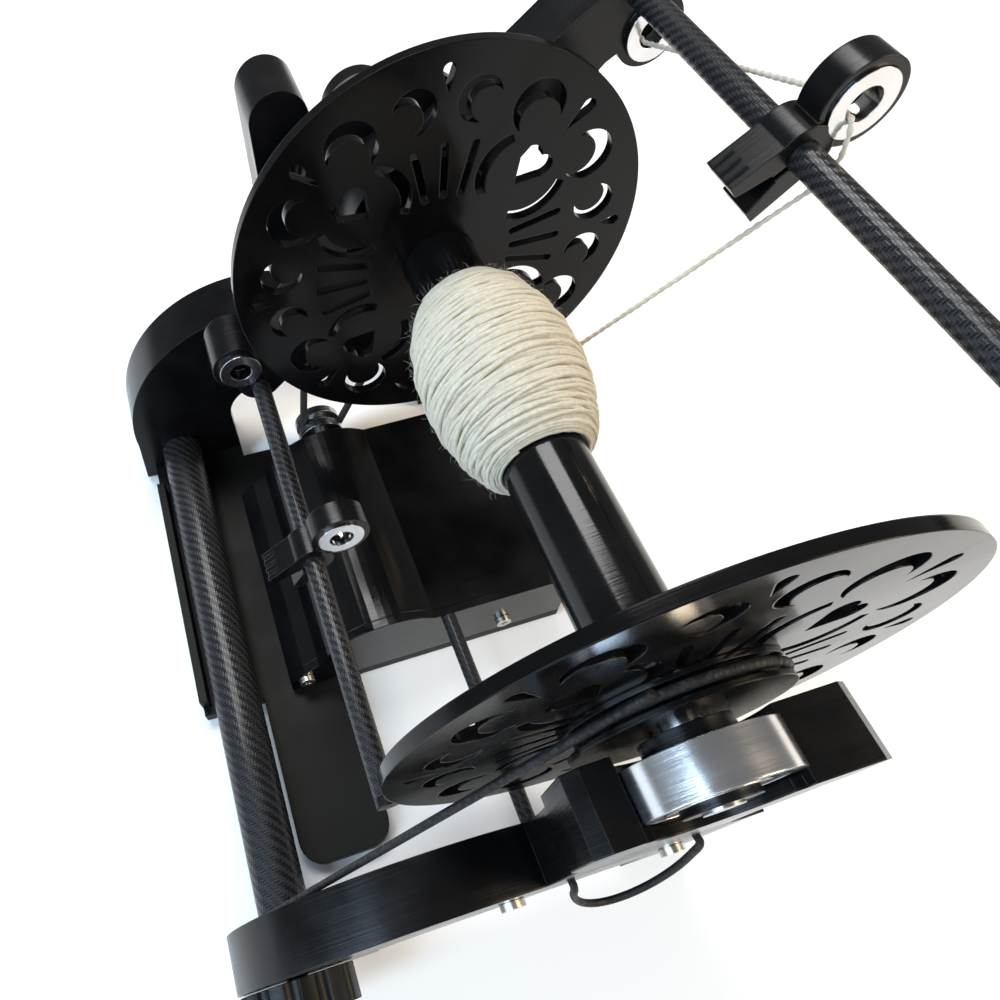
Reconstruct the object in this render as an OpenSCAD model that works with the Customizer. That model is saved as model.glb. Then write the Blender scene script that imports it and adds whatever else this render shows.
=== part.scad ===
// Electric yarn spinner: a motor turns a flyer round a braked bobbin, between two arched uprights.
// X runs across the machine, +Y from the orifice at the front to the rear upright, +Z up.

/* [Bobbin] */
// Diameter of the bobbin flanges
flange_d = 114; // [104:1:120]
// Thickness of a bobbin flange
flange_t = 2.6; // [2:0.1:4]
// Clear length between the two flanges
bobbin_len = 125; // [115:1:140]
// Outer diameter of the bobbin core tube
core_d = 20; // [18:0.5:24]
// Wall of the bobbin core tube
core_wall = 2; // [1.5:0.1:3]
// Scroll motifs round each flange
scroll_count = 4; // [3:1:4]
// Diameter of the brake whorl behind the rear flange
whorl_d = 44; // [38:1:50]

/* [Flyer] */
// Distance of the flyer rods from the axis
rod_r = 73.5; // [70:0.5:78]
// Diameter of the flyer rods
rod_d = 6; // [5:0.5:7]
// Diameter of the shaft through the bobbin
shaft_d = 8; // [6:0.5:9]
// Outer diameter of the orifice tube
orifice_d = 15; // [15:1:15]
// Bore of the orifice tube
orifice_bore = 10; // [8:0.5:11]
// Depth of the flyer head along the axis
head_t = 18; // [14:1:20]
// Turn of the flyer round its axis at rest
flyer_angle = -48.2; // [-60:1:-40]
// Outer diameter of a steel eyelet
eyelet_d = 13.5; // [12:0.5:15]
// Bore of a steel eyelet
eyelet_bore = 7; // [5:0.5:8]
// Place of the threaded slider along its rod
slider_a_y = 44; // [30:1:60]
// Place of the other slider along its rod
slider_b_y = 48; // [30:1:60]

/* [Frame] */
// Height of the flyer axis above the table
axis_h = 132; // [126:1:145]
// Thickness of the front upright
front_t = 20; // [16:1:24]
// Thickness of the rear upright
rear_t = 15; // [13:1:18]
// Outer edge of the wide foot, from the axis
foot_x = 111; // [106:1:120]
// Outer edge of the narrow foot, from the axis
heel_x = 36; // [30:1:45]
// Diameter of the carbon spine tube
spine_d = 16; // [14:1:18]
// Distance of the spine tube from the axis plane
spine_x = 92.5; // [88:0.5:96]
// Diameter of the thin tie rod
tie_d = 5; // [4:0.5:6]
// Thickness of the base deck
deck_t = 5; // [4:0.5:7]
// Thickness of the rubber feet below the frame
pad_h = 2; // [1.5:0.5:3]

/* [Bearings] */
// Outer diameter of the ball bearings
bearing_d = 32; // [32:1:32]
// Width of the ball bearings
bearing_w = 9; // [8:0.5:10]

/* [Drive] */
// Belt radius on the flyer pulley
flyer_pulley_r = 27; // [24:1:30]
// Belt radius on the motor pulley
motor_pulley_r = 7; // [6:0.5:9]
// Thickness of the round drive belt
belt_d = 3; // [2.5:0.5:4]
// Diameter of the motor
motor_d = 26; // [22:1:26]
// Length of the motor
motor_len = 46; // [36:1:55]
// Wall of the motor housing
case_wall = 2.5; // [2:0.5:3]
// Length of the motor housing
case_len = 82; // [74:1:90]

/* [Yarn] */
// Largest diameter of the wound yarn
pack_d = 41; // [36:1:44]
// Length of the wound yarn along the core
pack_len = 50; // [44:1:56]
// Thickness of the yarn
yarn_d = 1.3; // [1.1:0.1:1.4]

/* [Brake] */
// Diameter of the tension knob
knob_d = 32; // [28:1:34]
// Thickness of the brake cord
cord_d = 2; // [1.6:0.1:2.2]

/* [Hidden] */
$fn = 72;

// running and seating clearances
run_gap = 0.05;
seat_gap = 0.05;
press_gap = 0.02;
free_gap = 0.3;
// room left round the brake cord in its groove and holes
cord_room = 0.6;

// stations along Y, from the inner face of the front flange
head_gap = 16;
head_y1 = -head_gap;
head_y0 = head_y1 - head_t;
pulley_t = 10;
pulley_y1 = head_y0 - 2;
pulley_y0 = pulley_y1 - pulley_t;
belt_y = (pulley_y0 + pulley_y1) / 2;
front_y1 = pulley_y0 - 8;
front_y0 = front_y1 - front_t;
front_bearing_y = (front_y0 + front_y1) / 2;
rear_flange_y = bobbin_len;
rear_hub_t = 1.5;
whorl_t = 5.5;
whorl_y0 = rear_flange_y + flange_t;
rear_y0 = whorl_y0 + whorl_t + 1.5;
rear_y1 = rear_y0 + rear_t;
rear_bearing_y = (rear_y0 + rear_y1) / 2;
cap_d = 24;
cap_t = 5;
cap_lip = 0.5;
cap_y0 = front_y0 - cap_t - 1;
rod_y1 = bobbin_len - 5;
knob_t = 9;
knob_y1 = rear_y1 + knob_t + 0.5;

// heights from the axis
ground_z = -axis_h;
foot_z = ground_z + pad_h;
deck_z1 = foot_z + deck_t;
spine_z = deck_z1 + spine_d / 2 + free_gap;

// uprights
shoulder_r = 57;
shoulder_x = foot_x - 2.5 - shoulder_r;
shoulder_z = foot_z + 22;
front_arch_z = foot_z + 40;
rear_arch_z = foot_z + 26;
bridge_z1 = -72;
neck_x = 21;
dip_r = 26;
arch_r = 14;
arch_x0 = -15;
arch_x1 = foot_x - 43;
seat_r = bearing_d / 2 + seat_gap;
prong_z = 3;
front_prong_x = [30, 26];
rear_prong_x = [25.5, 33];
post_x = 30;
post_r = 9;
post_z = 24;
lip_in = 2.5;
// depth of the sockets for the spine tube and the tie rod
front_socket = 14;
rear_socket = 10;
spine_wall = 1.5;
pad_d = 12;
pad_x = [foot_x - 9, -heel_x + 10.5];

// bearings: outer diameter of the inner ring, bore of the outer ring, and the balls between them
race_in = 20.2;
race_out = 27.2;
ball_pitch = (race_in + race_out) / 2;
ball_d = 3.4;
ball_count = 14;

// flyer details
pulley_hole_d = 9;
pulley_hole_r = 16.5;
hub_r = 21;
// how far the orifice tube goes into the head, and the side hole where the yarn comes out
tube_in = 6;
side_hole_d = 7;
side_hole_y = head_y0 + 0.5;
rod_y0 = head_y0 + 3;
collar_d = 18.5;
eyelet_turn = -8.1;
eyelet_len = 4.5;
passage_d = eyelet_bore + 2;
eyelet_r = rod_r - 1.5;
barrel_d = eyelet_d + 4;
clip_d = rod_d + 6;
clip_len = 9;
ring_d = eyelet_d + 3.6;
ring_t = 7;
ring_reach = 12;

// bobbin details
hub_d = 30;
hub_t = 7;
bush_len = 12;
shaft_gap = 0.45;
scroll_r = flange_d / 2;
fan_turn = 13;
core_y0 = head_y1 + 0.8;

// housing
case_x0 = -32;
case_x1 = foot_x - 38;
case_y0 = -24;
case_y1 = case_y0 + case_len;
case_z1 = deck_z1 + 30;
motor_x = 34;
motor_z = deck_z1 + motor_d / 2 + 0.5;
motor_boss_d = 7.6;
motor_boss_out = 1.5;
motor_shaft_d = 5;
boss_gap = 0.2;
// the lid rises a little from the round cheek to the hump over the motor
cheek_r = 6;
lid_z0 = case_z1 - 3;
lid_z1 = case_z1 - 2;
hump_x = 36;
hump_r = 27;
hump_z = case_z1 + 4 - hump_r;
hump_turn = asin((lid_z1 - hump_z) / hump_r);
hump_end = 20;
skirt = 6;
cover_t = 3;
screw_x = [-8, 67];
screw_z = deck_z1 + 8;
screw_d = 3;
screw_head_d = 5.6;
screw_head_t = 2;
screw_socket_d = 2.4;
cap_screw_d = 7;
cap_socket_d = 3.4;
socket_t = 1;
bridge_screw_x = [-16, 30];
bridge_screw_z = bridge_z1 - 8;
board = [40, 60, 1.6];
board_in = [6, 12];

// base deck, with a tail towards the rear upright
deck_x1 = foot_x - 5;
deck_y0 = front_y1;
deck_tail_x = foot_x - 58;
deck_tail_x1 = foot_x - 27;
deck_tail_y = rear_y0 - 14;
deck_corner_r = 8;
deck_bow = 14;
lip_t = 3;
lip_h = 12;

// controls on the wide foot of the front upright
speed_x = foot_x - 40;
speed_z = foot_z + 48;
speed_y0 = front_y0 - 12;
speed_d = 20;
speed_socket = 12;
knob_shaft_d = 6;
switch_x = foot_x - 20;
switch_z = foot_z + 42;
switch_w = 6;
switch_h = 7;
switch_depth = 5.5;
switch_out = 2.5;
switch_travel = 3;
switch_slot = switch_h + 2 * (switch_travel + free_gap);
inlet_y = case_y0 + 40;
inlet_z = deck_z1 + 14;
inlet_d = 8;
inlet_bore = 5.6;
inlet_bore_l = 9;
inlet_rim_d = 11;
inlet_rim_t = 2;

// tie rod, from the housing cover to the rear bridge
tie_x = 14;
tie_z = rear_arch_z + 4.5;

// brake
brake_x = foot_x - 20;
brake_z = foot_z + 30;
cord_out = [-15, -57];
cord_end = [16, -66];
groove_r = whorl_d / 2 - 1.8;
cord_y = whorl_y0 + whorl_t / 2;
cord_wrap_r = groove_r + cord_d / 2 + free_gap;
cord_leave = 186.7;
spool_r = 4.5;
spool_y0 = rear_y0 - 3;
spool_y1 = rear_y0 - 0.4;
spool_wrap_r = spool_r + cord_d / 2 + free_gap;
// the cord leaves the spool on the shared tangent of spool and whorl
cord_touch = atan2(brake_z, brake_x) + acos((cord_wrap_r - spool_wrap_r) / norm([brake_x, brake_z]));
// the tied loop hangs as a round bow from one hole to the other
loop_mid = (cord_out[0] + cord_end[0]) / 2;
loop_r = (cord_end[0] - cord_out[0]) / 2;
loop_drop = 25;

// yarn
pack_y0 = 19;
core_gap = 0.15;
loops = 24;
ring_steps = 24;
pack_r = pack_d / 2;
core_r = core_d / 2;
yarn_core_n = 20;
wind_a = 1.4;
wind_in = 1.5;
heap_step = 1.2;
// the yarn rests on the inner side of each eyelet; lead and strand pass side by side
rest_off = eyelet_bore / 2 - yarn_d / 2 - free_gap;
ring_rest = rod_r + ring_reach - rest_off;
head_rest = eyelet_r - rest_off;
lead_y = 18;
side_off = 0.85;
strand_r = pack_r + free_gap;
strand_turn = 79.6;

// the origin sits under the middle of the whole machine
ring_sweep_x = (rod_r + ring_reach) * sin(-flyer_angle) + ring_d / 2;
x_mid = (foot_x - ring_sweep_x) / 2;
y_mid = (min(cap_y0, speed_y0) + knob_y1) / 2;

// ---------- helpers ----------
module place() translate([-x_mid, -y_mid, axis_h]) children();
module in_flyer() place() rotate([0, flyer_angle, 0]) children();

// a flat profile drawn in X and Z, from y0 to y1
module slab(y0, y1) translate([0, y1, 0]) rotate([90, 0, 0]) linear_extrude(y1 - y0) children();
module bar_y(d, y0, y1) translate([0, y1, 0]) rotate([90, 0, 0]) cylinder(d = d, h = y1 - y0);
module tube_y(d, bore, y0, y1) difference() {
    bar_y(d, y0, y1);
    bar_y(bore, y0 - 1, y1 + 1);
}
module at(x, z) translate([x, 0, z]) children();

function ring_pts(c, r, a0, a1, n) = [for (i = [0:n]) let (a = a0 + (a1 - a0) * i / n)
    [c[0] + r * cos(a), c[1] + r * sin(a)]];

// a swept tube of n sides through the points of path
function unit(v) = v / norm(v);
function tangent(p, i) = unit(p[min(i + 1, len(p) - 1)] - p[max(i - 1, 0)]);
function side(t, up) = unit(cross(t, up));
module swept(path, d, n, up) {
    m = len(path);
    pts = [for (i = [0:m - 1]) let (t = tangent(path, i), s = side(t, up), w = cross(s, t))
        for (j = [0:n - 1]) path[i] + d / 2 * (cos(360 * j / n) * s + sin(360 * j / n) * w)];
    sides = [for (i = [0:m - 2]) for (j = [0:n - 1]) for (k = [0:1]) let (
        a = i * n + j, b = i * n + (j + 1) % n, c = a + n, e = b + n)
        k == 0 ? [a, b, e] : [a, e, c]];
    end0 = [for (j = [1:n - 2]) [0, j + 1, j]];
    end1 = [for (j = [1:n - 2]) (m - 1) * n * [1, 1, 1] + [0, j, j + 1]];
    polyhedron(points = pts, faces = concat(sides, end0, end1), convexity = 8);
}

// ---------- uprights ----------
// shared outline: a tall round shoulder over the wide foot, a bridge, a narrow heel and a neck
module upright_outline(prong_x, arch_z) {
    intersection() {
        translate([shoulder_x, shoulder_z]) circle(r = shoulder_r, $fn = 96);
        translate([shoulder_x - shoulder_r, foot_z]) square([shoulder_r * 2.2, 200]);
    }
    polygon([[shoulder_x, foot_z], [foot_x, foot_z], [foot_x - 2.5, shoulder_z], [shoulder_x, shoulder_z]]);
    translate([-heel_x, arch_z]) square([heel_x + shoulder_x, bridge_z1 - arch_z]);
    polygon([[-heel_x, arch_z + 8], [-heel_x, foot_z], [arch_x0, foot_z], [arch_x0, arch_z + 8]]);
    difference() {
        translate([-heel_x, bridge_z1 - 1]) square([heel_x + neck_x + dip_r, dip_r]);
        translate([neck_x + dip_r, bridge_z1 + dip_r - 1]) circle(r = dip_r);
        translate([-heel_x, bridge_z1 + dip_r - 1]) circle(r = heel_x - neck_x);
        translate([-heel_x - 50, bridge_z1 - 1]) square([50, 40]);
    }
    polygon([
        [-neck_x, bridge_z1], [neck_x, bridge_z1], [neck_x, -34], [prong_x[0], -20],
        [prong_x[0], prong_z - 3], [prong_x[0] - 3, prong_z], [3 - prong_x[1], prong_z],
        [-prong_x[1], prong_z - 3], [-prong_x[1], -14], [5 - prong_x[1], -18],
        [5 - prong_x[1], -24], [-neck_x, -34]
    ]);
}
module upright_openings(arch_z) {
    circle(r = seat_r);
    translate([-seat_r, 0]) square([2 * seat_r, prong_z + 5]);
    difference() {
        translate([arch_x0, foot_z - 1]) square([arch_x1 - arch_x0, arch_z - foot_z + 1]);
        for (x = [arch_x0, arch_x1 - arch_r]) difference() {
            translate([x, arch_z - arch_r]) square(arch_r);
            translate([x == arch_x0 ? x + arch_r : x, arch_z - arch_r]) circle(r = arch_r);
        }
    }
}
// a lip behind the seat keeps the bearing from walking out of its cradle
module cradle_lip(y0, y1) place() difference() {
    slab(y0, y1) difference() {
        circle(r = seat_r + 1);
        translate([-seat_r - 2, 0]) square([2 * seat_r + 4, seat_r + 4]);
    }
    bar_y(bearing_d - 2 * lip_in, y0 - 1, y1 + 1);
}
module front_upright() color("#1b1b1d") {
    place() difference() {
        slab(front_y0, front_y1) difference() {
            union() {
                upright_outline(front_prong_x, front_arch_z);
                translate([post_x - post_r, -30]) square([2 * post_r, 30 + post_z - post_r]);
                translate([post_x, post_z - post_r]) circle(r = post_r);
            }
            upright_openings(front_arch_z);
        }
        at(spine_x, spine_z) bar_y(spine_d + 2 * seat_gap, front_y1 - front_socket, front_y1 + 1);
        at(speed_x, speed_z) bar_y(knob_shaft_d + 2 * run_gap, front_y0 - 1, front_y0 + speed_socket);
        translate([switch_x - switch_w / 2 - free_gap, front_y0 - 1, switch_z - switch_slot / 2])
            cube([switch_w + 2 * free_gap, 1 + switch_depth + free_gap, switch_slot]);
    }
    cradle_lip(front_y0, front_y0 + 3);
}
module rear_upright() color("#1b1b1d") {
    place() difference() {
        slab(rear_y0, rear_y1) difference() {
            upright_outline(rear_prong_x, rear_arch_z);
            upright_openings(rear_arch_z);
        }
        at(spine_x, spine_z) bar_y(spine_d + 2 * seat_gap, rear_y0 - 1, rear_y0 + rear_socket);
        at(tie_x, tie_z) bar_y(tie_d + 2 * seat_gap, rear_y0 - 1, rear_y0 + rear_socket);
        at(brake_x, brake_z) bar_y(knob_shaft_d + 2 * run_gap, rear_y0 - 1, rear_y1 + 1);
        for (p = [cord_out, cord_end])
            at(p[0], p[1]) bar_y(cord_d + 2 * cord_room, rear_y0 - 1, rear_y1 + 1);
    }
    cradle_lip(rear_y1 - 2.5, rear_y1);
}

// ---------- frame ----------
module spine_tube() color("#2b2d30") place() at(spine_x, spine_z)
    tube_y(spine_d, spine_d - 2 * spine_wall, front_y1 - front_socket + free_gap,
        rear_y0 + rear_socket - free_gap);
module tie_rod() color("#2b2d30") place() at(tie_x, tie_z)
    bar_y(tie_d, case_y1 + cover_t + seat_gap, rear_y0 + rear_socket - free_gap);
module base_deck() color("#202022") place() {
    r = deck_corner_r;
    tail_w = deck_tail_x1 - deck_tail_x;
    translate([0, 0, foot_z]) linear_extrude(deck_t) {
        polygon(concat(
            [[case_x0, case_y1 + cover_t], [case_x0, deck_y0 + 6 + deck_bow]],
            [for (i = [0:12]) [arch_x0 + (arch_x1 - arch_x0) * i / 12,
                deck_y0 + 6 + deck_bow * pow(1 - i / 12, 2)]],
            [[arch_x1, deck_y0], [deck_x1, deck_y0], [deck_x1, case_y1 + cover_t]]));
        translate([deck_tail_x, case_y1]) square([tail_w, deck_tail_y - r - case_y1]);
        translate([deck_tail_x + r, case_y1]) square([tail_w - 2 * r, deck_tail_y - case_y1]);
        for (x = [deck_tail_x + r, deck_tail_x1 - r]) translate([x, deck_tail_y - r]) circle(r = r);
    }
    translate([deck_x1 - lip_t, deck_y0 + deck_bow, foot_z])
        cube([lip_t, case_y1 - deck_y0 - deck_bow, lip_h]);
}
module rubber_feet() color("#111111") place() for (x = pad_x, y = [front_bearing_y, rear_bearing_y])
    translate([x, y, ground_z]) cylinder(d = pad_d, h = pad_h);

// ---------- housing and drive ----------
// section of the housing: sloped cheek, round motor hump, then a flat lid over the board
function case_section(g) = concat(
    [[case_x0 + g, deck_z1]],
    ring_pts([case_x0 + cheek_r, lid_z0 - cheek_r], cheek_r - g, 180, 90, 6),
    [[hump_x - hump_r * cos(hump_turn) - g, lid_z1 - g]],
    ring_pts([hump_x, hump_z], hump_r - g, 180 - hump_turn, hump_end, 20),
    [[case_x1 - skirt - g, deck_z1 + 2 * skirt], [case_x1 - g, deck_z1 + skirt], [case_x1 - g, deck_z1]]);
module motor_housing() color("#1d1d20") place() difference() {
    slab(case_y0, case_y1) polygon(case_section(0));
    slab(case_y0 + case_wall, case_y1 + 1) polygon(case_section(case_wall));
    slab(case_y0 + case_wall, case_y1 + 1)
        translate([case_x0 + case_wall, deck_z1 - 1]) square([case_x1 - case_x0 - 2 * case_wall, 2]);
    at(motor_x, motor_z) bar_y(motor_boss_d + 2 * boss_gap, case_y0 - 1, case_y0 + case_wall + 1);
    translate([case_x0 - 1, inlet_y, inlet_z]) rotate([0, 90, 0])
        cylinder(d = inlet_d + boss_gap, h = case_wall + 2);
}
module housing_end_cover() color("#18181a") place() difference() {
    slab(case_y1 + seat_gap, case_y1 + cover_t) polygon(case_section(0));
    for (x = screw_x) at(x, screw_z) bar_y(screw_d + boss_gap, case_y1 - 1, case_y1 + cover_t + 1);
}
module motor() color("#8d9095") place() at(motor_x, motor_z) {
    bar_y(motor_d, case_y0 + case_wall + free_gap, case_y0 + case_wall + motor_len);
    bar_y(motor_boss_d, case_y0 - motor_boss_out, case_y0 + case_wall + 2 * free_gap);
}
module motor_pulley() color("#c9c9c6") place() at(motor_x, motor_z) {
    pulley(motor_pulley_r, pulley_t);
    bar_y(motor_shaft_d, pulley_y1 - 1, case_y0 - motor_boss_out - 2 * seat_gap);
}
// round-belt pulley: two cheeks and a half-round groove
module pulley(r, t) translate([0, belt_y, 0]) rotate([90, 0, 0]) rotate_extrude() difference() {
    translate([0, -t / 2]) square([r + belt_d * 0.8, t]);
    translate([r, 0]) circle(d = belt_d + 2 * free_gap, $fn = 32);
    translate([r, -belt_d / 2 - free_gap]) square([belt_d * 2, belt_d + 2 * free_gap]);
}
// the belt runs round both pulleys on its two outside tangents
belt_span = norm([motor_x, motor_z]);
belt_dir = atan2(motor_z, motor_x);
belt_wrap = acos((flyer_pulley_r - motor_pulley_r) / belt_span);
function belt_pt(c, r, a) = [c[0] + r * cos(a), belt_y, c[1] + r * sin(a)];
belt_path = concat(
    [for (i = [0:20])
        belt_pt([0, 0], flyer_pulley_r, belt_dir + belt_wrap + (360 - 2 * belt_wrap) * i / 20)],
    [for (i = [0:8])
        belt_pt([motor_x, motor_z], motor_pulley_r, belt_dir - belt_wrap + 2 * belt_wrap * i / 8)]);
module drive_belt() color("#c8a24a") place() {
    m = len(belt_path);
    n = 8;
    pts = [for (i = [0:m - 1]) let (
        t = unit(belt_path[(i + 1) % m] - belt_path[(i + m - 1) % m]), s = side(t, [0, 1, 0]))
        for (j = [0:n - 1])
            belt_path[i] + belt_d / 2 * (cos(360 * j / n) * s + sin(360 * j / n) * [0, 1, 0])];
    faces = [for (i = [0:m - 1]) for (j = [0:n - 1]) for (k = [0:1]) let (
        a = i * n + j, b = i * n + (j + 1) % n,
        c = ((i + 1) % m) * n + j, e = ((i + 1) % m) * n + (j + 1) % n)
        k == 0 ? [a, e, b] : [a, c, e]];
    polyhedron(points = pts, faces = faces, convexity = 6);
}
module control_board() color("#1f5a3a") place()
    translate([case_x0 + board_in[0], case_y0 + board_in[1], deck_z1 + free_gap]) cube(board);
module power_inlet() color("#101012") place() translate([case_x0 - inlet_rim_t, inlet_y, inlet_z])
    rotate([0, 90, 0]) difference() {
        union() {
            cylinder(d = inlet_rim_d, h = inlet_rim_t - 2 * seat_gap);
            cylinder(d = inlet_d, h = inlet_bore_l + 4);
        }
        translate([0, 0, -1]) cylinder(d = inlet_bore, h = inlet_bore_l + 1);
    }
module housing_screws() color("#9a9a98") place() for (x = screw_x) {
    at(x, screw_z) bar_y(screw_d, case_y1 + 2 * seat_gap, case_y1 + cover_t + 2 * seat_gap);
    screw_head(x, case_y1 + cover_t, screw_z, -90, screw_head_d, screw_socket_d);
}
// round head with a socket, on the face at y; a turn of 90 points it to the front, -90 to the rear
module screw_head(x, y, z, turn, d, socket) translate([x, y, z]) rotate([turn, 0, 0]) difference() {
    translate([0, 0, seat_gap]) cylinder(d = d, h = screw_head_t);
    translate([0, 0, seat_gap + screw_head_t - socket_t]) cylinder(d = socket, h = 2 * socket_t);
}

// ---------- bearings ----------
module bearing_outer(y) place() tube_y(bearing_d, race_out, y - bearing_w / 2, y + bearing_w / 2);
module bearing_inner(y) place()
    tube_y(race_in, orifice_d + 2 * press_gap, y - bearing_w / 2, y + bearing_w / 2);
module bearing_balls(y) place() for (i = [1:ball_count]) rotate([0, 360 * i / ball_count, 0])
    translate([ball_pitch / 2, y, 0]) sphere(d = ball_d);
module front_bearing_outer() color("#b9babc") bearing_outer(front_bearing_y);
module front_bearing_balls() color("#8a8c90") bearing_balls(front_bearing_y);
module front_bearing_inner() color("#b9babc") bearing_inner(front_bearing_y);
module rear_bearing_outer() color("#b9babc") bearing_outer(rear_bearing_y);
module rear_bearing_balls() color("#8a8c90") bearing_balls(rear_bearing_y);
module rear_bearing_inner() color("#b9babc") bearing_inner(rear_bearing_y);

// ---------- flyer ----------
module orifice_tube() color("#b4b6ba") in_flyer() difference() {
    bar_y(orifice_d, cap_y0 + cap_lip, head_y0 + tube_in);
    bar_y(orifice_bore, cap_y0 - 1, head_y0 + tube_in - 1.5);
    translate([0, side_hole_y, 0]) cylinder(d = side_hole_d, h = orifice_d);
}
module orifice_cap() color("#161618") in_flyer() difference() {
    bar_y(cap_d, cap_y0, cap_y0 + cap_t);
    bar_y(orifice_d + 2 * seat_gap, cap_y0 + cap_lip, cap_y0 + cap_t + 1);
    bar_y(orifice_bore, cap_y0 - 1, cap_y0 + 2);
}
module flyer_pulley() color("#161618") in_flyer() difference() {
    pulley(flyer_pulley_r, pulley_t);
    bar_y(orifice_d + 2 * seat_gap, pulley_y0 - 1, pulley_y1 + 1);
    for (a = [0:60:300]) rotate([0, a, 0])
        at(pulley_hole_r, 0) bar_y(pulley_hole_d, pulley_y0 - 1, pulley_y1 + 1);
}
// one arm of the head: a tapered beam out to the rod socket and the eyelet barrel
module arm_profile() {
    polygon([[-13, 0], [-7.5, rod_r - 14], [-9, rod_r - 6], [7, rod_r - 6], [8.5, rod_r - 16], [13, 0]]);
    translate([0, rod_r]) circle(d = rod_d + 8);
    rotate(-eyelet_turn) translate([0, eyelet_r]) circle(d = barrel_d);
    polygon([[-8, rod_r - 10], [-13, rod_r - 10], [-11, rod_r], [0, rod_r + 5], [7, rod_r], [7, rod_r - 12]]);
}
module flyer_head() color("#17171a") in_flyer() difference() {
    union() {
        slab(head_y0, head_y1) circle(r = hub_r);
        for (s = [0, 180]) rotate([0, s, 0]) slab(head_y0, head_y1 - 2) arm_profile();
    }
    bar_y(orifice_d + 2 * seat_gap, head_y0 - 1, head_y0 + tube_in + free_gap);
    bar_y(shaft_d + 2 * seat_gap, head_y0 + tube_in, head_y1 + 1);
    for (s = [0, 180]) rotate([0, s, 0]) {
        at(0, rod_r) bar_y(rod_d + 2 * seat_gap, rod_y0, head_y1 + 1);
        rotate([0, eyelet_turn, 0]) at(0, eyelet_r) {
            bar_y(passage_d, head_y0 - 1, head_y1 + 1);
            bar_y(eyelet_d + 2 * seat_gap, head_y1 - eyelet_len - 0.5, head_y1 + 1);
        }
    }
    translate([0, side_hole_y, 0]) cylinder(d = side_hole_d, h = hub_r + 1);
}
module flyer_shaft() color("#b4b6ba") in_flyer() bar_y(shaft_d, head_y0 + tube_in + 0.5, rear_y1 - 1);
module rear_collar() color("#161618") in_flyer() difference() {
    union() {
        bar_y(orifice_d, rear_y0 - 0.6, rear_y1 - 1.5);
        bar_y(collar_d, rear_y0 - 0.6, rear_bearing_y - bearing_w / 2 - seat_gap);
    }
    bar_y(shaft_d + 2 * seat_gap, rear_y0 - 2, rear_y1 + 1);
}
module rod() at(0, rod_r) bar_y(rod_d, rod_y0 + free_gap, rod_y1);
module rod_a() color("#2b2d30") in_flyer() rod();
module rod_b() color("#2b2d30") in_flyer() rotate([0, 180, 0]) rod();
module eyelet(y1) difference() {
    bar_y(eyelet_d, y1 - eyelet_len, y1);
    bar_y(eyelet_bore, y1 - eyelet_len - 1, y1 + 1);
}
module head_eyelet() rotate([0, eyelet_turn, 0]) at(0, eyelet_r) eyelet(head_y1 - free_gap);
module eyelet_a() color("#c6c7ca") in_flyer() head_eyelet();
module eyelet_b() color("#c6c7ca") in_flyer() rotate([0, 180, 0]) head_eyelet();
module rod_tips() color("#161618") in_flyer() for (s = [0, 180]) rotate([0, s, 0])
    at(0, rod_r) bar_y(rod_d, rod_y1 + press_gap, rod_y1 + 2.5);

// slider: a split clip round the rod, a ring holder on one side, two finger tails on the other
module slider_body(y) at(0, rod_r) difference() {
    union() {
        bar_y(clip_d, y - clip_len / 2, y + clip_len / 2);
        slab(y - ring_t / 2, y + ring_t / 2)
            polygon([[-4, 0], [4, 0], [3, ring_reach - 4], [-3, ring_reach - 4]]);
        at(0, ring_reach) bar_y(ring_d, y - ring_t / 2, y + ring_t / 2);
        for (s = [-1, 1]) slab(y - clip_len / 2, y + clip_len / 2)
            polygon([[s * 1, 0], [s * 5.5, 0], [s * 6.6, -13], [s * 3.4, -13], [s * 1, -5]]);
    }
    bar_y(rod_d + 2 * run_gap, y - clip_len, y + clip_len);
    at(0, ring_reach) bar_y(passage_d, y - ring_t, y + ring_t);
    at(0, ring_reach) bar_y(eyelet_d + 2 * seat_gap, y - ring_t / 2 + 1.5, y + ring_t);
    translate([-0.8, y - clip_len, -20]) cube([1.6, 2 * clip_len, 20]);
    for (s = [-1, 1], k = [-1:1]) translate([s * 8.2, y + 2.6 * k, -11]) cube([4, 1.1, 20], center = true);
}
module slider_ring(y) at(0, rod_r + ring_reach) eyelet(y + ring_t / 2 + 0.6);
// the slider on the second rod is turned round, ring towards the axis
module turned_slider() translate([0, 0, 2 * rod_r]) mirror([0, 0, 1]) children();
module slider_a() color("#161618") in_flyer() slider_body(slider_a_y);
module slider_a_ring() color("#c6c7ca") in_flyer() slider_ring(slider_a_y);
module slider_b() color("#161618") in_flyer() rotate([0, 180, 0]) turned_slider() slider_body(slider_b_y);
module slider_b_ring() color("#c6c7ca") in_flyer() rotate([0, 180, 0]) turned_slider()
    slider_ring(slider_b_y);

// ---------- bobbin ----------
// one motif: a heart between two leaves, two scrolls over it, then a fan of slots under two more scrolls
module crescent(c, r, shift, r2) difference() {
    translate(c) circle(r = r, $fn = 48);
    translate(c + shift) circle(r = r2, $fn = 48);
}
module drop(c, r, l, a) translate(c) rotate(a) {
    circle(r = r, $fn = 32);
    polygon([[-r * 0.92, r * 0.38], [0, l], [r * 0.92, r * 0.38]]);
}
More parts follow.
